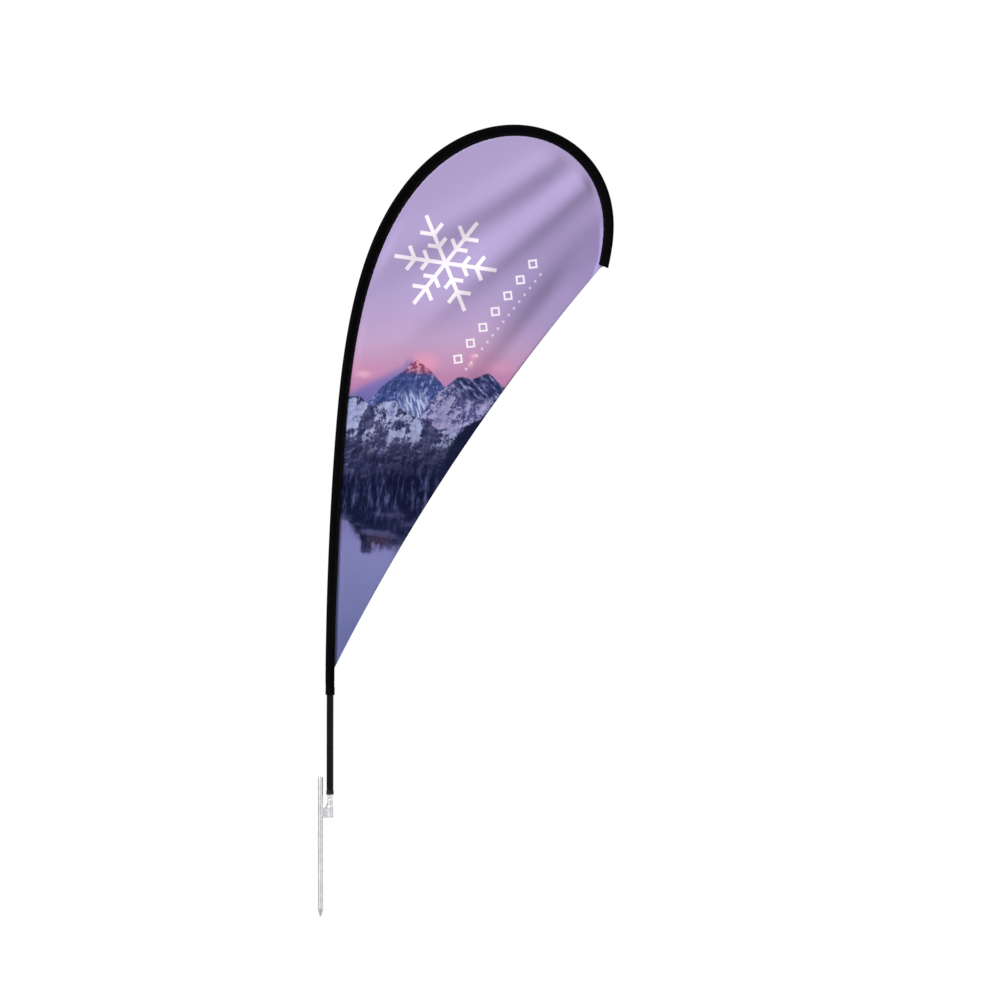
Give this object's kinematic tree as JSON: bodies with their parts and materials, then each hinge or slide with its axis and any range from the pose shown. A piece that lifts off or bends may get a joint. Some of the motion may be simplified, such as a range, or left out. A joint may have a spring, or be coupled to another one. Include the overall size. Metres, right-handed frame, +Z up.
{
  "type": "teardrop flag",
  "caption": "Teardrop outdoor flag: bent pole in a black sleeve, printed cloth panel with a concave free edge, and a ground spike with a swivel bearing.",
  "frame": {"origin": "the ground spike's axis at ground level, which is the level of the bracket's underside", "axes": "+Z up along the spike, +X from the spike towards the pole and on the way the flag flies, +Y away from the viewer through the panel"},
  "size_m": [0.9464, 0.0298, 2.5345],
  "materials": {
    "zinc_bar": "satin",
    "zinc_bracket": "satin",
    "turned_steel": "polished",
    "spring_steel": "satin",
    "nylon": "satin",
    "black_rubber": "matte",
    "pole_black": "satin",
    "cap_black": "satin",
    "dark_alloy": "satin",
    "bare_alloy": "satin",
    "sleeve_black": "matte",
    "print_cloth": "matte"
  },
  "bodies": {
    "ground_stake": {"spike_stake": "zinc_bar", "bracket_arm": "zinc_bracket", "gusset": "zinc_bracket", "bearing_housing": "turned_steel", "upper_bush": "nylon", "lower_bush": "nylon"},
    "swivel": {"spindle": "turned_steel", "retaining_washer": "spring_steel", "circlip": "spring_steel", "o_ring_lower": "black_rubber", "o_ring_upper": "black_rubber"},
    "flag": {"pole_foot_cap": "cap_black", "lower_pole": "pole_black", "lower_ferrule": "dark_alloy", "joint_spigot": "bare_alloy", "mid_pole": "pole_black", "mid_ferrule": "dark_alloy", "tip_pole": "pole_black", "tip_cap": "black_rubber", "grip_band": "sleeve_black", "pole_sleeve": "sleeve_black", "sleeve_cuff": "sleeve_black", "tip_pocket": "sleeve_black", "flag_panel": "print_cloth"}
  },
  "joints": [
    {"name": "flag_swivel", "type": "hinge", "parent": "ground_stake", "child": "swivel", "pos_m": [0.0304, 0, 0.05], "axis": [0, 0, 1], "continuous": true},
    {"name": "pole_lift_off", "type": "slide", "parent": "swivel", "child": "flag", "axis": [0, 0, 1], "range_m": [0, 0.12]}
  ]
}
